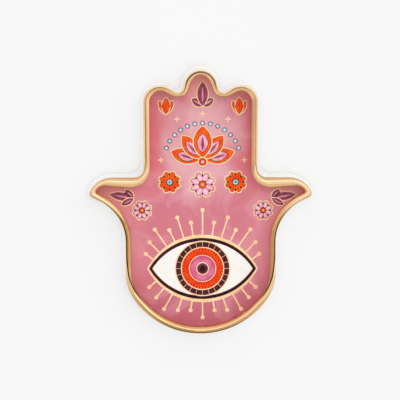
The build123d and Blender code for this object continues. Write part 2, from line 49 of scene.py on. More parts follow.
# The view. The dish lies on its foot and is photographed from above, fingers up, from about two metres,
# a little from the side of the finger tips, so that their outer walls show past the gold.
VIEW_FROM = Vector((-0.0279, 0.0767, 0.9967))
VIEW_DISTANCE = 2.0
RIM_HEIGHT = 13.3 * MM
SENSOR_MM = 36.0
SEEN_WIDTH = 0.2
FAR_CLIP = 10.0
PICTURE_PX = 400
# How far the dish's middle lies off the picture's middle
RIGHT_PX = 0.6
DOWN_PX = 1.55

scene.view_settings.view_transform = "Standard"
camera_data = bpy.data.cameras.new("camera")
camera_data.sensor_width = SENSOR_MM
camera_data.lens = SENSOR_MM * VIEW_DISTANCE / SEEN_WIDTH
camera_data.shift_x = -RIGHT_PX / PICTURE_PX
camera_data.shift_y = DOWN_PX / PICTURE_PX
camera_data.clip_end = FAR_CLIP
camera = bpy.data.objects.new("camera", camera_data)
scene.collection.objects.link(camera)
scene.camera = camera
back = VIEW_FROM.normalized()
right = Vector((0, 1, 0)).cross(back).normalized()
camera.matrix_world = Matrix((right, back.cross(right), back)).transposed().to_4x4()
camera.location = Vector((0, 0, RIM_HEIGHT)) + back * VIEW_DISTANCE


# The light of a white shooting table: a soft ceiling, a window high at the back right, a card to brighten
# the right side and one to shade the left, low bright panels behind the table, the dimmer room before it,
# and the dark camera where the dish's floor mirrors it.
CEILING = 1.02
WINDOW = 2.4
BRIGHT_CARD = 1.22
SHADE_CARD = 0.72
PANELS = 1.3
ROOM = 0.5
CAMERA = 0.05

# Their places in the sky, in parts of an arrow of length 1 that points at them. An edge fades in from its
# first number to its second, and a band is a middle, half a width and a fade.
WINDOW_EAST, WINDOW_NORTH = 0.26, 0.32
WINDOW_WIDE, WINDOW_DEEP = 0.40, 0.18
WINDOW_EDGE = (1.25, 0.7)
CARDS_BAND = (-0.08, 0.16, 0.12)
CARDS_FOOT = (0.1, 0.3)
BRIGHT_CARD_EDGE = (0.4, 0.7)
SHADE_CARD_EDGE = (0.3, 0.6)
PANELS_BAND = (0.2, 0.10, 0.06)
PANELS_EDGE = (0.3, 0.6)
ROOM_EDGE = (0.74, 0.86)
MIRRORED_EAST, MIRRORED_SOUTH = 0.028, 0.077
CAMERA_EDGE = (0.012, 0.006)


class Signal:
    """The output of a shader node, so that what varies over a surface reads as plain sums."""

    def __init__(self, tree, socket=None):
        self.tree = tree
        self.socket = socket

    def node(self, kind, settings, inputs, output=0):
        """Any node: its settings first, then the values or links of its sockets."""
        new = self.tree.nodes.new(kind)
        for name, value in settings.items():
            setattr(new, name, value)
        for socket, value in inputs.items():
            if isinstance(value, Signal):
                self.tree.links.new(value.socket, new.inputs[socket])
            else:
                new.inputs[socket].default_value = value
        return Signal(self.tree, new.outputs[output])

    def maths(self, operation, *values):
        """A Math node, on signals or numbers."""
        return self.node("ShaderNodeMath", {"operation": operation}, dict(enumerate(values)))

    def __add__(self, other):
        return self.maths("ADD", self, other)

    def __sub__(self, other):
        return self.maths("SUBTRACT", self, other)

    def __mul__(self, other):
        return self.maths("MULTIPLY", self, other)

    def __truediv__(self, other):
        return self.maths("DIVIDE", self, other)

    def __rsub__(self, other):
        return self.maths("SUBTRACT", other, self)

    __radd__ = __add__
    __rmul__ = __mul__

    def step(self, start, end):
        """A smooth rise from 0 at start to 1 at end, which may be the smaller."""
        inputs = {"Value": self, "From Min": start, "From Max": end}
        return self.node("ShaderNodeMapRange", {"interpolation_type": "SMOOTHSTEP"}, inputs)

    def band(self, centre, half, soft):
        """1 within half of a centre, fading to 0 over soft."""
        return self.maths("ABSOLUTE", self - centre).step(half + soft, half)

    def blend(self, colour_a, colour_b):
        """One colour where this is 0, another where it is 1."""
        inputs = {0: self, 6: colour_a, 7: colour_b}
        return self.node("ShaderNodeMix", {"data_type": "RGBA"}, inputs, 2)

    def noise(self, scale, detail=2.0, warp=0.0):
        """Cloudy grain over the surface, about 0.3 to 0.7, with a number of grains to the metre."""
        inputs = {"Vector": self, "Scale": scale, "Detail": detail, "Distortion": warp}
        return self.node("ShaderNodeTexNoise", {}, inputs)

    def part(self, axis):
        """One of the three numbers of a place: 0 is east, 1 is north, 2 is up."""
        return self.node("ShaderNodeSeparateXYZ", {}, {"Vector": self}, axis)


world = bpy.data.worlds.new("studio")
scene.world = world
world.use_nodes = True
way = Signal(world.node_tree).node("ShaderNodeTexCoord", {}, {}, "Generated")
east, north, up = way.part(0), way.part(1), way.part(2)
across, along = (east - WINDOW_EAST) / WINDOW_WIDE, (north - WINDOW_NORTH) / WINDOW_DEEP
window = (across * across + along * along).step(*WINDOW_EDGE)
cards = north.band(*CARDS_BAND) * up.step(*CARDS_FOOT)
bright_card = east.step(*BRIGHT_CARD_EDGE) * cards
shade_card = (east * -1).step(*SHADE_CARD_EDGE) * cards
panels = up.band(*PANELS_BAND) * north.step(*PANELS_EDGE)
room = (north * -1).step(*ROOM_EDGE)
sides = bright_card * (BRIGHT_CARD - CEILING) + shade_card * (SHADE_CARD - CEILING)
tent = CEILING + sides + window * (WINDOW - CEILING) + panels * (PANELS - CEILING)
camera_east, camera_north = east - MIRRORED_EAST, north + MIRRORED_SOUTH
camera_spot = (camera_east * camera_east + camera_north * camera_north).step(*CAMERA_EDGE)
light = (tent * (1 - room) + room * ROOM) * (1 - camera_spot) + camera_spot * CAMERA
world.node_tree.links.new(light.socket, world.node_tree.nodes["Background"].inputs["Color"])


# The white table top, which isn't part of the object. It keeps the dish's soft shadow and reads as the
# picture's plain pale ground, also in the gold.
TABLE_HALF = 3.0
TABLE_DROP = 0.05 * MM
TABLE_GREY = (0.3, 0.3, 0.3, 1)
TABLE_GLOW = 0.62


def material(name, settings, paint=None):
    """A finish: its constants on the shader's own sockets, then what paint varies over the surface."""
    made = bpy.data.materials.new(name)
    made.use_nodes = True
    tree = made.node_tree
    shader = tree.nodes["Principled BSDF"]
    for socket, value in settings.items():
        shader.inputs[socket].default_value = value
    if paint:
        place = Signal(tree).node("ShaderNodeTexCoord", {}, {}, "Object")
        for socket, signal in paint(place).items():
            tree.links.new(signal.socket, shader.inputs[socket])
    return made


bm = bmesh.new()
bmesh.ops.create_grid(bm, x_segments=1, y_segments=1, size=TABLE_HALF)
bmesh.ops.translate(bm, vec=(0, 0, -TABLE_DROP), verts=bm.verts)
table_mesh = bpy.data.meshes.new("table")
bm.to_mesh(table_mesh)
bm.free()
table_mesh.materials.append(material("white_table", {
    "Base Color": TABLE_GREY, "Roughness": 0.9, "Specular IOR Level": 0.0,
    "Emission Color": (1, 1, 1, 1), "Emission Strength": TABLE_GLOW,
}))
table = bpy.data.objects.new("table", table_mesh)
scene.collection.objects.link(table)


# The dish itself: slip-cast porcelain under a clear white glaze, with walls that flare towards the foot,
# a rounded crest, a steep well and an unglazed foot ring round a shallow recess. Its outline is a chain of
# arcs with tangent lines between them: finger tips, valleys, crooks, thumbs, hips and palm.
DISH_H = 16.0 * MM
FLOOR_Z = 5.5 * MM
GOLD_EDGE_Z = 13.3 * MM
GOLD_T = 0.2 * MM
SEAM = 0.05 * MM

# The rim's outer edge
RIM_LENGTH = 132.6 * MM
FINGERS_W = 57.7 * MM
FINGERTIP_R = 8.65 * MM
FINGER_DROP = 7.85 * MM
VALLEY_R = 2.8 * MM
SIDE_LEAN = 0.35 * MM
CROOK_R = 4.5 * MM
THUMB_TOP_Y = 12.15 * MM
THUMB_SPAN = 111.2 * MM
THUMB_R = 12.15 * MM
THUMB_TIP_R = 2.45 * MM
THUMB_TIP_TURN = radians(25)
UNDER_R = 23 * MM
PALM_R = 41 * MM
HIP_R = 25 * MM
HIP_TURN = radians(37)
LINK = 0.15 * MM

# How far the foot stands out from the rim
FLARE = 1.6 * MM
SIDE_FLARE = 0.85 * MM
BASE_CROOK_R = 6.5 * MM

# How far in from the rim the floor's edge lies, and the radii that are its own
FINGER_IN = 3.35 * MM
VALLEY_IN = 2.8 * MM
SIDE_IN = 3.2 * MM
THUMB_ROOT_IN = 5.45 * MM
TIP_IN = 3.3 * MM
UNDER_IN = 3.0 * MM
PALM_IN = 3.45 * MM
WELL_CROOK_R = 10 * MM
WELL_THUMB_R = 6 * MM
WELL_TIP_R = 1.15 * MM
WELL_TIP_TURN = radians(47)
WELL_HIP_R = 20 * MM
WELL_HIP_TURN = radians(33.5)

# The wall from the foot ring over the crest into the well; a share is one of the way between two outlines
FOOT_RECESS = 1.3 * MM
FOOT_RING_SHARE = 0.92
RECESS_CORNER_W, RECESS_CORNER_H = 0.5 * MM, 0.4 * MM
RING_EDGE = 0.3 * MM
FOOT_ROUND = 0.9 * MM
FOOT_STEPS = 6
OUTER_WALL = (0.12, 0.3, 0.55, 0.8)
CREST_SHARE = 0.43
CREST_STEPS = 10
LIP_SHARE = 0.96
LIP_DROP = 0.8 * MM
# Stations of the well's wall: the share of the way from rim to floor, and the height in millimetres
INNER_WALL = ((0.985, 14.85), (1.0, 14.4), (1.0, 11.0), (1.0, 7.5), (1.0, 6.1), (1.01, 5.7), (1.03, 5.5))
# Steps round the arcs of one side, from the middle finger's tip to the palm
ARC_STEPS = (26, 14, 22, 14, 14, 18, 18, 16, 36)

Hand = namedtuple("Hand", (
    "dome_y", "dome_r", "valley_x", "valley_y", "valley_r", "finger_x", "finger_y", "finger_r",
    "crook_x", "crook_y", "crook_r", "thumb_x", "thumb_y", "thumb_r", "end_r", "end_turn",
    "under_x", "under_y", "under_r", "palm_y", "palm_r", "hip_r", "hip_turn",
))


def meet(x_a, y_a, reach_a, x_b, y_b, reach_b):
    """Point at two given distances from a and b, on the upper right of the line from a to b."""
    apart = hypot(x_b - x_a, y_b - y_a)
    along = (apart**2 + reach_a**2 - reach_b**2) / (2 * apart)
    aside = sqrt(reach_a**2 - along**2)
    east_share, north_share = (x_b - x_a) / apart, (y_b - y_a) / apart
    return x_a + east_share * along - north_share * aside, y_a + north_share * along + east_share * aside


def rim_hand():
    """The rim's edge: the places and radii of the circles that the outline is wrapped round."""
    dome_y = RIM_LENGTH / 2 - FINGERTIP_R
    finger_x, finger_y = FINGERS_W / 2 - FINGERTIP_R, dome_y - FINGER_DROP
    reach = FINGERTIP_R + VALLEY_R + LINK
    valley_x, valley_y = meet(0, dome_y, reach, finger_x, finger_y, reach)
    hook = THUMB_R - THUMB_TIP_R
    thumb_y = THUMB_TOP_Y - THUMB_R
    tip_x = THUMB_SPAN / 2 - THUMB_TIP_R
    tip_y = thumb_y + hook * sin(THUMB_TIP_TURN)
    under_x = (PALM_R - HIP_R) * cos(HIP_TURN) + HIP_R + UNDER_R
    under_y = tip_y - sqrt((THUMB_TIP_R + UNDER_R + LINK) ** 2 - (under_x - tip_x) ** 2)
    return Hand(
        dome_y=dome_y, dome_r=FINGERTIP_R, valley_x=valley_x, valley_y=valley_y, valley_r=VALLEY_R,
        finger_x=finger_x, finger_y=finger_y, finger_r=FINGERTIP_R,
        crook_x=FINGERS_W / 2 - SIDE_LEAN + CROOK_R, crook_y=THUMB_TOP_Y + CROOK_R, crook_r=CROOK_R,
        thumb_x=tip_x - hook * cos(THUMB_TIP_TURN), thumb_y=thumb_y, thumb_r=THUMB_R,
        end_r=THUMB_TIP_R, end_turn=THUMB_TIP_TURN, under_x=under_x, under_y=under_y, under_r=UNDER_R,
        palm_y=PALM_R - RIM_LENGTH / 2, palm_r=PALM_R, hip_r=HIP_R, hip_turn=HIP_TURN,
    )


def foot_hand(rim):
    """The widest outline, just above the foot."""
    side = FINGERS_W / 2 + SIDE_FLARE
    return rim._replace(
        dome_r=rim.dome_r + FLARE, valley_r=rim.valley_r - FLARE,
        finger_x=side - rim.finger_r - FLARE / 2, finger_r=rim.finger_r + FLARE / 2,
        crook_x=side + BASE_CROOK_R, crook_y=THUMB_TOP_Y + FLARE + BASE_CROOK_R, crook_r=BASE_CROOK_R,
        thumb_r=rim.thumb_r + FLARE, end_r=rim.end_r + FLARE, under_r=rim.under_r - FLARE,
        palm_r=rim.palm_r + FLARE, hip_r=rim.hip_r + FLARE,
    )


def floor_hand(rim):
    """The edge of the floor, where the inner wall meets it."""
    side = FINGERS_W / 2 - SIDE_LEAN - SIDE_IN
    under_r = rim.under_r + UNDER_IN
    tip_x = THUMB_SPAN / 2 - TIP_IN - WELL_TIP_R
    tip_y = rim.under_y + sqrt((under_r + WELL_TIP_R + LINK) ** 2 - (rim.under_x - tip_x) ** 2)
    hook = WELL_THUMB_R - WELL_TIP_R
    return rim._replace(
        dome_r=rim.dome_r - FINGER_IN, valley_r=rim.valley_r + VALLEY_IN, finger_r=rim.finger_r - FINGER_IN,
        crook_x=side + WELL_CROOK_R, crook_y=THUMB_TOP_Y - THUMB_ROOT_IN + WELL_CROOK_R,
        crook_r=WELL_CROOK_R,
        thumb_x=tip_x - hook * cos(WELL_TIP_TURN), thumb_y=tip_y - hook * sin(WELL_TIP_TURN),
        thumb_r=WELL_THUMB_R, end_r=WELL_TIP_R, end_turn=WELL_TIP_TURN, under_r=under_r,
        palm_r=rim.palm_r - PALM_IN, hip_r=WELL_HIP_R, hip_turn=WELL_HIP_TURN,
    )


def between(hand_a, hand_b, share):
    """The outline a share of the way from one hand to another."""
    return Hand(*(a + (b - a) * share for a, b in zip(hand_a, hand_b)))


def circles(hand, grow):
    """Centres, radii and sides (1 round the outside, -1 round the inside) of the whole outline."""
    hook, swell = hand.thumb_r - hand.end_r, hand.palm_r - hand.hip_r
    end_x = hand.thumb_x + hook * cos(hand.end_turn)
    end_y = hand.thumb_y + hook * sin(hand.end_turn)
    hip_x, hip_y = swell * cos(hand.hip_turn), hand.palm_y - swell * sin(hand.hip_turn)
    side = [
        (hand.valley_x, hand.valley_y, hand.valley_r - grow, -1),
        (hand.finger_x, hand.finger_y, hand.finger_r + grow, 1),
        (hand.crook_x, hand.crook_y, hand.crook_r - grow, -1),
        (hand.thumb_x, hand.thumb_y, hand.thumb_r + grow, 1),
        (end_x, end_y, hand.end_r + grow, 1),
        (hand.under_x, hand.under_y, hand.under_r - grow, -1),
        (hip_x, hip_y, hand.hip_r + grow, 1),
    ]
    other = [(-x, y, r, turned) for x, y, r, turned in reversed(side)]
    return [(0, hand.dome_y, hand.dome_r + grow, 1), *side, (0, hand.palm_y, hand.palm_r + grow, 1), *other]


def contact(one, two):
    """Turns at which the outline leaves one circle and meets the next."""
    heading = atan2(two[1] - one[1], two[0] - one[0])
    if one[3] == two[3]:
        turn = heading if one[2] > two[2] else heading + pi
        return turn, turn
    swing = one[3] * acos(min((one[2] + two[2]) / hypot(two[0] - one[0], two[1] - one[1]), 1))
    return heading + swing, heading + swing + pi


def ring(bm, hand, grow, height):
    """Points along the hand's outline at one height. Two arcs of one side share the point between them."""
    chain = circles(hand, grow)
    joins = [contact(one, two) for one, two in zip(chain, chain[1:] + chain[:1])]
    verts = []
    for place, (x, y, r, side) in enumerate(chain):
        arrive, leave = joins[place - 1][1], joins[place][0]
        sweep = (arrive - leave) % (2 * pi) if side > 0 else -((leave - arrive) % (2 * pi))
        steps = ARC_STEPS[min(place, len(chain) - place)]
        first = 1 if chain[place - 1][3] == side else 0
        for step in range(first, steps + 1):
            turn = arrive - sweep * step / steps
            verts.append(bm.verts.new((x + r * cos(turn), y + r * sin(turn), height)))
    return verts


def skin(bm, stations, closed=False):
    """Walls through a row of outlines, each a hand, its growth and its height."""
    rings = [ring(bm, *station) for station in stations]
    pairs = list(zip(rings, rings[1:]))
    if closed:
        pairs.append((rings[-1], rings[0]))
    for one, two in pairs:
        for a, b, c, d in zip(one, one[1:] + one[:1], two[1:] + two[:1], two):
            bm.faces.new((a, b, c, d))
    return rings


RIM = rim_hand()
FOOT, FLOOR = foot_hand(RIM), floor_hand(RIM)


def outer_crest(sink):
    """Stations up the outer half of the crest, sunk below the gold's face."""
    stations = []
    for step in range(CREST_STEPS + 1):
        turn = pi / 2 * step / CREST_STEPS
        hand = between(RIM, FLOOR, CREST_SHARE * (1 - cos(turn)))
        height = GOLD_EDGE_Z + (DISH_H - sink - GOLD_EDGE_Z) * sin(turn)
        stations.append((hand, -sink * cos(turn), height))
    return stations


def inner_crest(sink):
    """Stations from the top of the crest down its gentle inner slope, round the lip and to the floor."""
    stations = []
    for step in range(1, CREST_STEPS + 1):
        share = step / CREST_STEPS
        hand = between(RIM, FLOOR, CREST_SHARE + (LIP_SHARE - CREST_SHARE) * share)
        stations.append((hand, 0, DISH_H - sink - LIP_DROP * share**2))
    for share, height in INNER_WALL:
        stations.append((between(RIM, FLOOR, share), sink, height * MM))
    return stations


def tone(code):
    """A colour, from its six screen digits."""
    levels = [int(code[place:place + 2], 16) / 255 for place in (0, 2, 4)]
    linear = [level / 12.92 if level <= 0.04045 else ((level + 0.055) / 1.055) ** 2.4 for level in levels]
    return (*linear, 1.0)


def finish(name, bm, fired, nodes=(), smooth=True):
    """Makes the mesh a piece of the part: its finish, body and slot, and the CAD nodes it stands for."""
    bmesh.ops.recalc_face_normals(bm, faces=bm.faces)
    mesh = bpy.data.meshes.new(name)
    bm.to_mesh(mesh)
    bm.free()
    mesh.materials.append(fired)
    if smooth:
        mesh.shade_smooth()
    else:
        mesh.shade_flat()
    piece = bpy.data.objects.new(name, mesh)
    scene.collection.objects.link(piece)
    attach(piece, "root")
    if nodes:
        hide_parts(*nodes)


def glaze(place):
    """White glaze: barely warmer in clouds, greyer low on the wall as painted shade, with the waves of a
    dip.
    """
    clouds = place.noise(38, 3).step(0.35, 0.65)
    waves = place.noise(120, 1)
    bump = place.node("ShaderNodeBump", {}, {"Strength": 0.12, "Distance": 0.4 * MM, "Height": waves})
    # Greyer low on the outer wall, where it meets the table: painted shade.
    foot = place.part(2).step(2.8 * MM, 1.3 * MM)
    return {
        "Base Color": foot.blend(clouds.blend(tone("eeebe7"), tone("f3f0ec")), tone("d4d0cc")),
        "Roughness": 0.10 + place.noise(260, 2) * 0.08,
        "Normal": bump,
    }


recess = between(FOOT, FLOOR, FOOT_RING_SHARE)
stations = [
    (recess, -RECESS_CORNER_W, FOOT_RECESS), (recess, 0, FOOT_RECESS - RECESS_CORNER_H),
    (recess, 0, RING_EDGE), (recess, RING_EDGE, 0),
]
for step in range(FOOT_STEPS + 1):
    turn = pi / 2 * step / FOOT_STEPS
    stations.append((FOOT, -FOOT_ROUND * (1 - sin(turn)), FOOT_ROUND * (1 - cos(turn))))
for share in OUTER_WALL:
    stations.append((between(FOOT, RIM, share), 0, FOOT_ROUND + (GOLD_EDGE_Z - FOOT_ROUND) * share))
stations.append((RIM, 0, GOLD_EDGE_Z - SEAM))
bm = bmesh.new()
rings = skin(bm, stations + outer_crest(GOLD_T) + inner_crest(GOLD_T))
for end in (rings[0], rings[-1]):
    bm.faces.new(end)
porcelain = material("white_glaze", {"Coat Weight": 0.6, "Coat Roughness": 0.05, "IOR": 1.5}, glaze)
finish("porcelain_body", bm, porcelain, ["porcelain_dish"])


# The gold on the rim: bright gold lustre brushed by hand over the whole crest and down the inner wall
# to the print, fired onto the glaze. It pools a little, so its colour and shine drift along the rim.
GOLD_PROUD = 0.02 * MM
GOLD_TUCK = 0.1 * MM
# The first pair is the plain gold. The second, used on the palm, is painted deeper as painted shade; the
# pale cream gold is a painted highlight and the near-black brown a painted dark reflection.
PALE_GOLD = ((0.70, 0.385, 0.155, 1), (0.85, 0.49, 0.22, 1))
PAINTED_SHADE_GOLD = ((0.54, 0.285, 0.10, 1), (0.66, 0.355, 0.14, 1))
PAINTED_HIGHLIGHT_GOLD = (1.0, 0.78, 0.50, 1)
PAINTED_REFLECTION_BROWN = (0.085, 0.035, 0.006, 1)
EDGE_TINT = (1.0, 0.72, 0.42, 1)

# Where its looks change along the hand, each fading in from its first place to its second: those of the
# fingers lie north of the middle, those of the palm south of it
FINGERS_FROM = (14 * MM, 20 * MM)
TIPS_FROM = (52 * MM, 62 * MM)
PALM_FROM = (-4 * MM, 10 * MM)
CROSSING_FROM = (26 * MM, 48 * MM)
FLANKS_FROM = (36 * MM, 46 * MM)
LOW_FROM = (44 * MM, 52 * MM)
BOTTOM_FROM = (55 * MM, 65 * MM)
RIGHT_FROM = (-20 * MM, 20 * MM)
ROSE_BELOW = (8.8 * MM, 7.2 * MM)


def lustre(place):
    """Gold from deep to pale with the streaks of the brush. Across the rim, 0 is the outer edge and 1 the
    floor. A brown line, a painted dark reflection, lies near the outer edge on fingers and hips, with a
    cream band outside it where the gold stops short of the edge, coloured as a painted highlight. The line
    crosses the gold on the lower flanks and comes back at the outer edge at the bottom. Thumbs and lower
    flanks have a painted highlight along the crest, the palm's gold is painted deeper as painted shade, and
    the foot of the wall is rose, painted lighter at the thumbs and finger tips against their shade."""
    east, north, height = place.part(0), place.part(1), place.part(2)
    across = place.node("ShaderNodeAttribute", {"attribute_name": "across"}, {}, "Fac")
    south = north * -1
    fingers, tips = north.step(*FINGERS_FROM), north.step(*TIPS_FROM)
    palm, crossing = south.step(*PALM_FROM), south.step(*CROSSING_FROM)
    low, bottom = south.step(*LOW_FROM), south.step(*BOTTOM_FROM)
    thumbs = (1 - palm) * (1 - fingers)
    flanks = south.step(*FLANKS_FROM) * (0.45 + east.step(*RIGHT_FROM) * 0.45) * (1 - bottom * 0.6)
    foot = height.step(*ROSE_BELOW)
    pools = place.noise(30, 2, 0.6).step(0.35, 0.68)
    streaks = place.noise(220, 3, 1.5)

    inside = across + (streaks - 0.5) * 0.04 - fingers * 0.26 - palm * 0.13 - crossing * 0.62
    # Outside the line the gold stops short of the edge. This band is coloured cream, paler at the tips and
    # palm, as a painted highlight.
    bare_edge_highlight = inside.step(0.03, -0.04) * (1 - thumbs) * (1 - crossing * 0.85) * (1 - low)
    line_end = (inside - tips * 0.12 - palm * 0.07).step(0.20, 0.12)
    line = inside.step(-0.03, 0.03) * line_end * (1 - low) + across.step(0.30, 0.14) * bottom
    # The brown line is a painted dark reflection along the rim, darkest on the finger tips and the palm.
    painted_dark_line = line * (0.42 + tips * 0.5 + palm * 0.56 - thumbs * 0.22)
    # A painted highlight along the crest of the thumbs and lower flanks.
    crest = (across - low * 0.2).band(0.45, 0.10, 0.10) * (thumbs + flanks)

    # The palm's gold is painted deeper than the rest: painted shade.
    plain = (palm - low * 0.3).blend(pools.blend(*PALE_GOLD), pools.blend(*PAINTED_SHADE_GOLD))
    gold_with_painted_light = painted_dark_line.blend((crest * 0.6).blend(plain, PAINTED_HIGHLIGHT_GOLD), PAINTED_REFLECTION_BROWN)
    # Rose at the foot of the wall, painted lighter at the thumbs and finger tips: painted light against the
    # shade of their narrow wells.
    rose_foot = (thumbs + tips).blend(tone("cc6c78"), tone("e28e94"))
    edge_highlight_cream = (tips + palm).blend(tone("f0cb97"), tone("fbe8c6"))
    bump = place.node("ShaderNodeBump", {}, {"Strength": 0.03, "Distance": 0.1 * MM, "Height": streaks})
    return {
        "Base Color": bare_edge_highlight.blend(foot.blend(gold_with_painted_light, rose_foot), edge_highlight_cream),
        "Metallic": (1 - foot) * (1 - bare_edge_highlight * (0.45 + palm * 0.3)),
        "Roughness": 0.05 + streaks * 0.06 + (1 - palm) * 0.08 + foot * 0.15 + crest * 0.20,
        "Coat Weight": 1 - palm * 0.6 - line * palm * 0.4,
        "Normal": bump,
    }


bm = bmesh.new()
across_layer = bm.verts.layers.float.new("across")
face_side = [(RIM, GOLD_PROUD, GOLD_EDGE_Z), *outer_crest(0)[1:], *inner_crest(0)]
back_side = [(RIM, -GOLD_TUCK, GOLD_EDGE_Z + SEAM), *outer_crest(GOLD_T)[1:], *inner_crest(GOLD_T)[:-1]]
back_side.append((FLOOR, 0, FLOOR_Z - SEAM))
rim_stations = face_side + back_side[::-1]
for verts, station in zip(skin(bm, rim_stations, closed=True), rim_stations):
    share = (RIM.palm_r - station[0].palm_r) / (RIM.palm_r - FLOOR.palm_r)
    for vert in verts:
        vert[across_layer] = share
gilt = {"Coat IOR": 1.6, "Coat Roughness": 0.06, "Specular Tint": EDGE_TINT}
finish("rim_lustre", bm, material("gold_lustre", gilt, lustre), ["gold_rim"])


# The rose ground: the print's base coat over the whole floor, watercolour rose under a clear glaze,
# deeper towards the wall and the foot of the palm, with a pale cloud behind the lotus.
CLOUD_Y, CLOUD_HALF_W, CLOUD_HALF_L = 27 * MM, 20 * MM, 28 * MM
# Squares of distances from the hand's middle line, 23 mm at the fingers and 32 mm at the palm
FINGER_SIDES, PALM_SIDES = 0.00052, 0.0010
SIDES_FROM = (-4 * MM, 22 * MM)
ROSE_TIPS_FROM = (45 * MM, 62 * MM)
THUMB_ENDS_FROM = (36 * MM, 46 * MM)
ROSE_FOOT_FROM = (28 * MM, 56 * MM)
GLAZED = {"Coat Weight": 0.5, "Coat Roughness": 0.04, "IOR": 1.45, "Specular IOR Level": 0.15}


def rose(place):
    """Rose wash: deep at the fingers' sides and the foot of the palm, mid over its flanks, pale in a cloud,
    and paler at the tips of fingers and thumbs as painted light against the shade of their deep wells."""
    east, north = place.part(0), place.part(1)
    off_middle = east * east
    drift = place.noise(38, 3, 0.8) - 0.5
    across, along = east / CLOUD_HALF_W, (north - CLOUD_Y) / CLOUD_HALF_L
    cloud = (across * across + along * along + drift * 3.4).step(1.5, 0.0)
    sides = (off_middle / FINGER_SIDES + drift * 1.4).step(0.35, 1.15) * north.step(*SIDES_FROM)
    flanks = (off_middle / PALM_SIDES + drift * 0.8).step(0.3, 1.1)
    thumb_ends = off_middle.step(THUMB_ENDS_FROM[0] ** 2, THUMB_ENDS_FROM[1] ** 2)
    # Paler at the tips of fingers and thumbs: painted light against the shade of the deep, narrow well.
    tips = place.maths("MAXIMUM", north.step(*ROSE_TIPS_FROM), thumb_ends)
    foot = (north * -1 + drift * 0.012).step(*ROSE_FOOT_FROM)
    mottles = place.noise(60, 4, 1.4).step(0.48, 0.66)

    palm = flanks.blend(tone("d67c8a"), tone("e68e9c"))
    body = sides.blend(palm, tone("e37a85"))
    wash = foot.blend(tips.blend(body, tone("f0a09c")), tone("cd7080"))
    mottled = (mottles * 0.35).blend(wash, tone("eba9b4"))
    return {
        "Base Color": (cloud * 0.62).blend(mottled, tone("f4c6cb")),
        "Roughness": 0.30 + place.noise(900, 1) * 0.08,
    }


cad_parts["rose_ground"].material_slots[0].material = material("rose_glaze", GLAZED, rose)


# The enamels of the print: flat ceramic colours, each fired on with a little unevenness, and the
# cream-gold line that edges every motif. They lie over one another in thin layers, counted from the ground.
PRINT_T = 0.15 * MM
INK_Z = FLOOR_Z + PRINT_T
LAYER = 0.022 * MM
EDGE_OUT = 0.48 * MM
LINE_IN = 0.12 * MM
COLOUR_IN = 0.31 * MM
OVAL = 0.5
THINNEST = 1e-6
ROUND_SEGMENTS = 32
SMALL_SEGMENTS = 24


def enamel(name, deep_code, pale_code):
    """A screen-printed colour that drifts between two tones, with the grain of the print."""

    def paint(place):
        drift = place.noise(300, 3, 0.3).step(0.38, 0.62)
        return {
            "Base Color": drift.blend(tone(deep_code), tone(pale_code)),
            "Roughness": 0.32 + place.noise(1500, 1) * 0.12,
        }

    return material(name, GLAZED, paint)


cream_gold = enamel("cream_gold_enamel", "fdd19a", "ffe2b8")
dark = enamel("dark_enamel", "2c070c", "3f1117")
umber = enamel("umber_enamel", "48141e", "581f28")
white = enamel("white_enamel", "f8f6f1", "fbf9f5")
orange = enamel("orange_enamel", "f24e06", "ff6a0e")
flame = enamel("flame_enamel", "ee3a04", "fb4c0a")
pink = enamel("pink_enamel", "ee92aa", "f8b4c4")
blush = enamel("blush_enamel", "fac4ce", "fdd8de")
rose_pink = enamel("rose_pink_enamel", "cc5078", "da6a8e")
soft_rose = enamel("soft_rose_enamel", "d8648a", "e27c9c")
mauve = enamel("mauve_enamel", "93405c", "a75474")
plum = enamel("plum_enamel", "602636", "743646")
blue = enamel("blue_enamel", "9cc4d8", "b8dae8")


def raise_flat(bm, verts, layers):
    """Lifts a flat face from the ground into a closed slab, a number of printed layers high."""
    faces = list({face for vert in verts for face in vert.link_faces})
    lifted = bmesh.ops.extrude_face_region(bm, geom=faces)["geom"]
    tops = [item for item in lifted if isinstance(item, bmesh.types.BMVert)]
    bmesh.ops.translate(bm, vec=(0, 0, layers * LAYER), verts=tops)


def patch(bm, x, y, turn, long, wide, layers, point, segments):
    """A flat of colour from its root towards a turn from +Y: point 0.5 is an oval, 1 is a leaf."""
    made = bmesh.ops.create_circle(bm, cap_ends=True, radius=1.0, segments=segments)["verts"]
    for vert in made:
        along = max(-1.0, min(1.0, vert.co.y))
        shape = max(1 - along**2, THINNEST) ** (point - OVAL)
        vert.co = Vector((vert.co.x * shape * wide / 2, (along + 1) * long / 2, 0))
    matrix = Matrix.Translation((x, y, INK_Z)) @ Matrix.Rotation(-radians(turn), 4, "Z")
    bmesh.ops.transform(bm, matrix=matrix, verts=made)
    raise_flat(bm, made, layers)


def disc(bm, x, y, radius, layers, segments=ROUND_SEGMENTS):
    """A round flat of colour."""
    patch(bm, x, y - radius, 0, 2 * radius, 2 * radius, layers, OVAL, segments)


def stroke(bm, start, end, wide, layers):
    """A straight line of colour from point to point."""
    along = end - start
    middle = (start + end) / 2
    made = bmesh.ops.create_cube(bm, size=1.0)["verts"]
    bmesh.ops.scale(bm, vec=(along.length, wide, layers * LAYER), verts=made)
    turn = Matrix.Rotation(atan2(along.y, along.x), 4, "Z")
    place = Matrix.Translation((middle.x, middle.y, INK_Z + layers * LAYER / 2))
    bmesh.ops.transform(bm, matrix=place @ turn, verts=made)


def printed(name, draw, fired, nodes=()):
    """One colour of the print as a piece of its own."""
    bm = bmesh.new()
    draw(bm)
    finish(name, bm, fired, nodes, smooth=False)


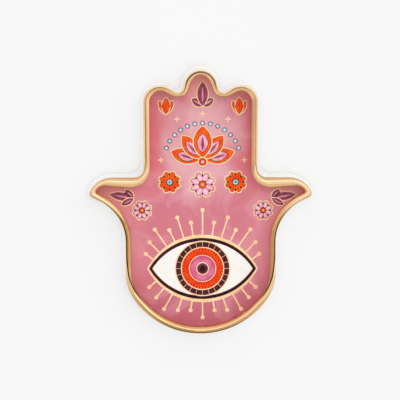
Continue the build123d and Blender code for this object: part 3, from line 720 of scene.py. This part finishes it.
def edged(name, motif, colour, nodes=(), base=0):
    """A motif in three firings, each a little smaller: its cream-gold edge, dark line and colour."""
    printed(f"{name}_edge", lambda bm: motif(bm, EDGE_OUT, base + 2), cream_gold)
    printed(f"{name}_line", lambda bm: motif(bm, -LINE_IN, base + 3), dark)
    printed(f"{name}_colour", lambda bm: motif(bm, -COLOUR_IN, base + 4), colour, nodes)


# The eye in the palm: a traditional almond eye in a gold border, with a dark lid line and a white ball.
# Each colour is a flat of its own over the last.
BORDER_W, BORDER_TIP = 1.65 * MM, 1.0 * MM
LID_W, LID_TIP = 1.75 * MM, 1.75 * MM
BLUSH_W = 0.16 * MM
EYE_SEGMENTS = 96

eye_low, eye_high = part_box("eye_gold_border")
eye_x, eye_y = (eye_low.x + eye_high.x) / 2, (eye_low.y + eye_high.y) / 2
border_half, border_rise = (eye_high.x - eye_low.x) / 2, (eye_high.y - eye_low.y) / 2
lid_half, lid_rise = border_half - BORDER_TIP, border_rise - BORDER_W
ball_half, ball_rise = lid_half - LID_TIP, lid_rise - LID_W


def almond(bm, half_l, rise, layers):
    """The eye's shape: two arcs from tip to tip, as a flat."""
    made = bmesh.ops.create_circle(bm, cap_ends=True, radius=1.0, segments=EYE_SEGMENTS)["verts"]
    arc_r = (half_l**2 + rise**2) / (2 * rise)
    reach = atan2(half_l, arc_r - rise)
    for vert in made:
        turn = atan2(vert.co.y, vert.co.x)
        upper = 1 if turn >= 0 else -1
        swing = reach * (1 - 2 * abs(turn) / pi)
        aside, above = arc_r * sin(swing), upper * (rise - arc_r + arc_r * cos(swing))
        vert.co = Vector((eye_x + aside, eye_y + above, INK_Z))
    raise_flat(bm, made, layers)


printed("eye_border", lambda bm: almond(bm, border_half, border_rise, 2), cream_gold, ["eye_gold_border"])
printed("eye_lids", lambda bm: almond(bm, lid_half, lid_rise, 3), dark, ["eye_lid_line"])
printed("eye_lid_blush", lambda bm: almond(bm, ball_half + BLUSH_W, ball_rise + BLUSH_W, 4), rose_pink)
printed("eye_ball", lambda bm: almond(bm, ball_half, ball_rise, 5), white, ["eye_white"])


# The iris: a dark ring of blocks parted by gold lines, an orange ring with fine spokes and a pink ring
# round the pupil, each edged with a gold line. Printed one over the other from the outside in.
BLOCKS = 24
SPOKES = 40
BLOCK_LINE_W = 0.18 * MM
SPOKE_W = 0.2 * MM
SPOKE_MARGIN = 0.12 * MM
SPOKE_SHARE = 0.42
GLOW_SHARE = 0.84
PUPIL_DARK_SHARE = 0.58
IRIS_SEGMENTS = 96


def half_width(node):
    """Half the width of a node, which is the radius of a round one."""
    low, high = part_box(node)
    return (high.x - low.x) / 2


def iris_disc(name, radius, layers, fired, nodes=()):
    """A round flat of the iris."""
    printed(name, lambda bm: disc(bm, eye_x, eye_y, radius, layers, IRIS_SEGMENTS), fired, nodes)


def spokes(bm, count, inner_r, outer_r, wide, layers, first=0.0):
    """Short lines round the iris, pointing at its middle."""
    middle = Vector((eye_x, eye_y, 0))
    for place in range(count):
        turn = 2 * pi * (place + first) / count
        way = Vector((cos(turn), sin(turn), 0))
        stroke(bm, middle + way * inner_r, middle + way * outer_r, wide, layers)


edge_r = half_width("iris_gold_edge")
block_out, block_in = half_width("iris_dark_ring"), half_width("iris_gold_band")
orange_out, orange_in = half_width("iris_orange_ring"), half_width("iris_gold_line")
pink_r, rim_r, pupil_r = half_width("iris_pink_ring"), half_width("pupil_gold_rim"), half_width("pupil")
spoke_l = (orange_out - orange_in) * SPOKE_SHARE
outer_spokes = (orange_out - spoke_l, orange_out - SPOKE_MARGIN)
inner_spokes = (orange_in + SPOKE_MARGIN, orange_in + spoke_l)
iris_disc("iris_edge", edge_r, 6, cream_gold, ["iris_gold_edge"])
iris_disc("iris_blocks", block_out, 7, umber, ["iris_dark_ring"])
printed("iris_block_lines", lambda bm: spokes(bm, BLOCKS, block_in, block_out, BLOCK_LINE_W, 8), cream_gold)
iris_disc("iris_band", block_in, 9, cream_gold, ["iris_gold_band"])
iris_disc("iris_orange", orange_out, 10, flame, ["iris_orange_ring"])
printed("iris_spokes_outer", lambda bm: spokes(bm, SPOKES, *outer_spokes, SPOKE_W, 11), dark)
printed("iris_spokes_inner", lambda bm: spokes(bm, SPOKES, *inner_spokes, SPOKE_W, 11, 0.5), dark)
iris_disc("iris_line", orange_in, 12, cream_gold, ["iris_gold_line"])
iris_disc("iris_pink", pink_r, 13, rose_pink, ["iris_pink_ring"])
iris_disc("iris_pink_glow", pink_r * GLOW_SHARE, 14, soft_rose)
iris_disc("pupil_edge", rim_r, 16, cream_gold, ["pupil_gold_rim"])
iris_disc("pupil_round", pupil_r, 17, plum, ["pupil"])
iris_disc("pupil_dark", pupil_r * PUPIL_DARK_SHARE, 18, dark)


# The rays round the eye, printed in the gold of its border: lines square to the border, long and short by
# turns, each ending in a dot. The lengths are shares, from the middle ray outwards.
RAY_W = 0.75 * MM
RAY_DOT_R = 1.05 * MM
RAY_ROOT = 0.2 * MM
RAY_UP_TURN, RAY_DOWN_TURN = radians(8.8), radians(9.7)
RAY_UP_SHARES = (1.0, 0.52, 0.85, 0.5, 0.82, 0.56, 0.36)
RAY_DOWN_SHARES = (0.9, 0.54, 0.72, 1.0, 0.68, 0.52)

border_r = (border_half**2 + border_rise**2) / (2 * border_rise)
ray_up_l = (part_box("rays_upper")[1].y - RAY_DOT_R - eye_y - border_rise) / RAY_UP_SHARES[0]
ray_down_l = (eye_y - border_rise - RAY_DOT_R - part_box("rays_lower")[0].y) / RAY_DOWN_SHARES[0]


def rays(bm, shares, length, turn_step, up):
    """Lines square to the eye's border, each ending in a dot: up is 1 above the eye and -1 below it."""
    centre = Vector((eye_x, eye_y + up * (border_rise - border_r), 0))
    for place, share in enumerate(shares):
        for side in (1, -1) if place else (1,):
            turn = up * (pi / 2 - side * place * turn_step)
            way = Vector((cos(turn), sin(turn), 0))
            end = centre + way * (border_r + length * share)
            stroke(bm, centre + way * (border_r - RAY_ROOT), end, RAY_W, 1)
            disc(bm, end.x, end.y, RAY_DOT_R, 2, SMALL_SEGMENTS)


for name, shares, length, turn_step, up, node in (
    ("rays_above", RAY_UP_SHARES, ray_up_l, RAY_UP_TURN, 1, "rays_upper"),
    ("rays_below", RAY_DOWN_SHARES, ray_down_l, RAY_DOWN_TURN, -1, "rays_lower"),
):
    printed(name, lambda bm: rays(bm, shares, length, turn_step, up), cream_gold, [node])


# The lotus over the eye: two pairs of side petals, a heart petal before them and a round cup, orange with
# pink hearts and mauve veins, each petal in its own gold edge and dark line.
LOTUS_ROOT_SHARE = 1.09
PETAL_L_SHARE, PETAL_W_SHARE = 0.914, 0.79
PETAL_POINT = 0.85
PETAL_SEGMENTS = 48
PETAL_SINK = 0.4
HEART_LINE = 0.3 * MM
HEART_SHARE = 0.58
VEIN_SHARE, VEIN_W_SHARE = 0.44, 0.36
CUP_PEARL_SHARE = 0.36

heart_low, heart_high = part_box("lotus_heart")
cup_low, cup_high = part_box("lotus_cup")
lotus_x, lotus_y = (cup_low.x + cup_high.x) / 2, (cup_low.y + cup_high.y) / 2
cup_r = (cup_high.x - cup_low.x) / 2
lotus_root = cup_r * LOTUS_ROOT_SHARE
heart_l, heart_w = heart_high.y - lotus_y - lotus_root, heart_high.x - heart_low.x
petal_l, petal_w = heart_l * PETAL_L_SHARE, heart_w * PETAL_W_SHARE


def lotus(bm, turns, long, wide, grow, layers, share=1.0):
    """Pointed petals round the cup, grown for their edges or shrunk to a share for their hearts."""
    for turn in turns:
        root = lotus_root + long * (1 - share) * PETAL_SINK - grow
        x, y = lotus_x + root * sin(radians(turn)), lotus_y + root * cos(radians(turn))
        size = (long * share + 2 * grow, wide * share + 2 * grow)
        patch(bm, x, y, turn, *size, layers, PETAL_POINT, PETAL_SEGMENTS)


def cup(bm, grow, layers):
    """The cup that the petals stand round."""
    disc(bm, lotus_x, lotus_y, cup_r + grow, layers)


for name, turns, long, wide, base, nodes in (
    ("lotus_outer", (72, -72), petal_l, petal_w, 0, ()),
    ("lotus_inner", (38, -38), petal_l, petal_w, 7, ["lotus_petals"]),
    ("lotus_heart", (0,), heart_l, heart_w, 14, ["lotus_heart"]),
):
    petals = (turns, long, wide)
    vein = (turns, long, wide * VEIN_W_SHARE)
    edged(name, lambda bm, grow, layers: lotus(bm, *petals, grow, layers), orange, nodes, base)
    printed(f"{name}_heart_line", lambda bm: lotus(bm, *petals, HEART_LINE, base + 5, HEART_SHARE), dark)
    printed(f"{name}_heart", lambda bm: lotus(bm, *petals, 0, base + 6, HEART_SHARE), pink)
    printed(f"{name}_vein", lambda bm: lotus(bm, *vein, 0, base + 7, VEIN_SHARE), mauve)
edged("lotus_cup", cup, flame, ["lotus_cup"], 20)
printed("lotus_cup_pearl", lambda bm: disc(bm, lotus_x, lotus_y, cup_r * CUP_PEARL_SHARE, 25), blue)


# The garland: pale blue beads printed in an arch over the lotus, each with a dark line round it and a white
# glint in its middle.
BEAD_R = 0.9 * MM
BEAD_LINE = 0.3 * MM
BEAD_COUNT = 13
BEAD_TURN = 11.5
GLINT_SHARE = 0.4

garland_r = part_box("bead_garland")[1].y - BEAD_R - lotus_y


def beads(bm, radius, layers):
    """A disc at every place of the arch."""
    for place in range(BEAD_COUNT):
        turn = radians(90 + BEAD_TURN * (place - (BEAD_COUNT - 1) / 2))
        x, y = lotus_x + garland_r * cos(turn), lotus_y + garland_r * sin(turn)
        disc(bm, x, y, radius, layers, SMALL_SEGMENTS)


printed("garland_lines", lambda bm: beads(bm, BEAD_R + BEAD_LINE, 2), dark)
printed("garland_beads", lambda bm: beads(bm, BEAD_R, 3), blue, ["bead_garland"])
printed("garland_glints", lambda bm: beads(bm, BEAD_R * GLINT_SHARE, 4), white)


# Rosettes: eight round petals about a hub. An orange pair and a pink one stand under the lotus, a smaller
# pink pair on the shoulders of the palm. Each is x from the print's middle line, y and its reach.
ORANGE_ROSETTES = ((16.57 * MM, 9.22 * MM, 5.52 * MM), (-16.57 * MM, 9.22 * MM, 5.52 * MM))
PINK_ROSETTES = (
    (0, 7.99 * MM, 6.49 * MM), (30.4 * MM, -5.0 * MM, 4.81 * MM), (-30.4 * MM, -5.0 * MM, 4.81 * MM),
)
ROSETTE_PETALS = 8
ROSETTE_PETAL_W = 0.53
ROSETTE_POINT = 0.42
HUB_SHARE = 0.26
UNDER_HUB = 0.9
STREAK_SINK = 0.4
STREAK_L_SHARE, STREAK_W_SHARE = 0.62, 0.3
HUB_LINE = 0.25 * MM
HUB_IN = 0.1 * MM
PEARL_SHARE = 0.3


def rosette_petals(bm, rosettes, grow, layers, share=1.0, wide_share=1.0):
    """Oval petals from under each hub to its reach, or a share of them for their streaks."""
    for x, y, reach in rosettes:
        for place in range(ROSETTE_PETALS):
            turn = 360 * (place + 0.5) / ROSETTE_PETALS
            inner = reach * (HUB_SHARE * UNDER_HUB + (1 - HUB_SHARE) * (1 - share) * STREAK_SINK) - grow
            root = eye_x + x + inner * sin(radians(turn)), y + inner * cos(radians(turn))
            long = reach * (1 - HUB_SHARE * UNDER_HUB) * share + 2 * grow
            wide = reach * ROSETTE_PETAL_W * wide_share + 2 * grow
            patch(bm, *root, turn, long, wide, layers, ROSETTE_POINT, SMALL_SEGMENTS)


def hubs(bm, rosettes, grow, layers, share=1.0):
    """The round middles of the rosettes, or a share of them for their pearls."""
    for x, y, reach in rosettes:
        disc(bm, eye_x + x, y, reach * HUB_SHARE * share + grow, layers, SMALL_SEGMENTS)


for name, rosettes, petal, streak, hub, pearl, node in (
    ("orange_rosettes", ORANGE_ROSETTES, orange, flame, blue, dark, "rosettes_orange"),
    ("pink_rosettes", PINK_ROSETTES, pink, blush, orange, cream_gold, "rosettes_pink"),
):
    streaks = (rosettes, 0, 5, STREAK_L_SHARE, STREAK_W_SHARE)
    edged(name, lambda bm, grow, layers: rosette_petals(bm, rosettes, grow, layers), petal, [node])
    printed(f"{name}_streaks", lambda bm: rosette_petals(bm, *streaks), streak)
    printed(f"{name}_hub_lines", lambda bm: hubs(bm, rosettes, HUB_LINE, 6), dark)
    printed(f"{name}_hubs", lambda bm: hubs(bm, rosettes, -HUB_IN, 7), hub, ["rosette_hubs"])
    printed(f"{name}_pearls", lambda bm: hubs(bm, rosettes, 0, 8, PEARL_SHARE), pearl)


# Leaves: mauve sprigs along the thumbs, orange tulips under the outer finger tips and a mauve bud in the
# middle finger. Every leaf has its gold edge, its dark line and a pale vein. A group is its root's x and y,
# its length and width, and each leaf's turn with its shares of these, the front leaf last.
SPRIG = (34.61 * MM, 0.98 * MM, 12.4 * MM, 4.2 * MM, ((80, 1, 1), (42, 0.5, 0.72), (118, 0.56, 0.72)))
TULIP = (18.38 * MM, 43.2 * MM, 8.59 * MM, 3.98 * MM, ((-27, 0.9, 0.72), (27, 0.9, 0.72), (0, 1, 1)))
BUD = (0, 47.4 * MM, 12.19 * MM, 5.41 * MM, ((-56, 0.54, 0.72), (56, 0.54, 0.72), (0, 1, 1)))
BACK_LEAVES, FRONT_LEAF, ALL_LEAVES = slice(0, 2), slice(2, 3), slice(None)
LEAF_POINT = 0.9
LEAF_SEGMENTS = 32
LEAF_SINK = 0.45
LEAF_VEIN_SHARES = (0.62, 0.3)


def leaves(bm, group, sides, pick, grow, layers, share=1.0, wide_share=1.0):
    """The leaves of a group from its root, or a share of them for their veins; side -1 turns it over."""
    x, y, long, wide, each = group
    for side in sides:
        for turn, long_part, wide_part in each[pick]:
            turn = side * turn
            length, breadth = long * long_part, wide * wide_part
            inner = length * (1 - share) * LEAF_SINK - grow
            root = eye_x + side * x + inner * sin(radians(turn)), y + inner * cos(radians(turn))
            size = (length * share + 2 * grow, breadth * wide_share * share + 2 * grow)
            patch(bm, *root, turn, *size, layers, LEAF_POINT, LEAF_SEGMENTS)


for name, group, sides, colour, vein, node in (
    ("sprigs", SPRIG, (1, -1), mauve, pink, "thumb_sprigs"),
    ("tulips", TULIP, (1, -1), orange, flame, "finger_tulips"),
    ("bud", BUD, (1,), mauve, pink, "finger_bud"),
):
    edged(f"{name}_side", lambda bm, *size: leaves(bm, group, sides, BACK_LEAVES, *size), colour)
    edged(f"{name}_front", lambda bm, *size: leaves(bm, group, sides, FRONT_LEAF, *size), colour, [node], 3)
    printed(f"{name}_veins", lambda bm: leaves(bm, group, sides, ALL_LEAVES, 0, 8, *LEAF_VEIN_SHARES), vein)


# Gold stars printed in the gaps of the field: four thin points each, with a dot in the middle. Each is x
# from the print's middle line, and y.
STARS = (
    (0, 43.6 * MM), (12.76 * MM, 40.8 * MM), (-12.76 * MM, 40.8 * MM),
    (20.97 * MM, 20.37 * MM), (-20.97 * MM, 20.37 * MM),
)
STAR_L, STAR_W = 1.63 * MM, 0.7 * MM
STAR_POINT = 1.2
STAR_SEGMENTS = 20
STAR_DOT_SHARE = 0.5
STAR_DOT_SEGMENTS = 16


def stars(bm):
    """Every star of the field."""
    for x, y in STARS:
        for turn in (0, 90, 180, 270):
            patch(bm, eye_x + x, y, turn, STAR_L, STAR_W, 1, STAR_POINT, STAR_SEGMENTS)
        disc(bm, eye_x + x, y, STAR_W * STAR_DOT_SHARE, 2, STAR_DOT_SEGMENTS)


printed("stars", stars, cream_gold, ["gold_stars"])
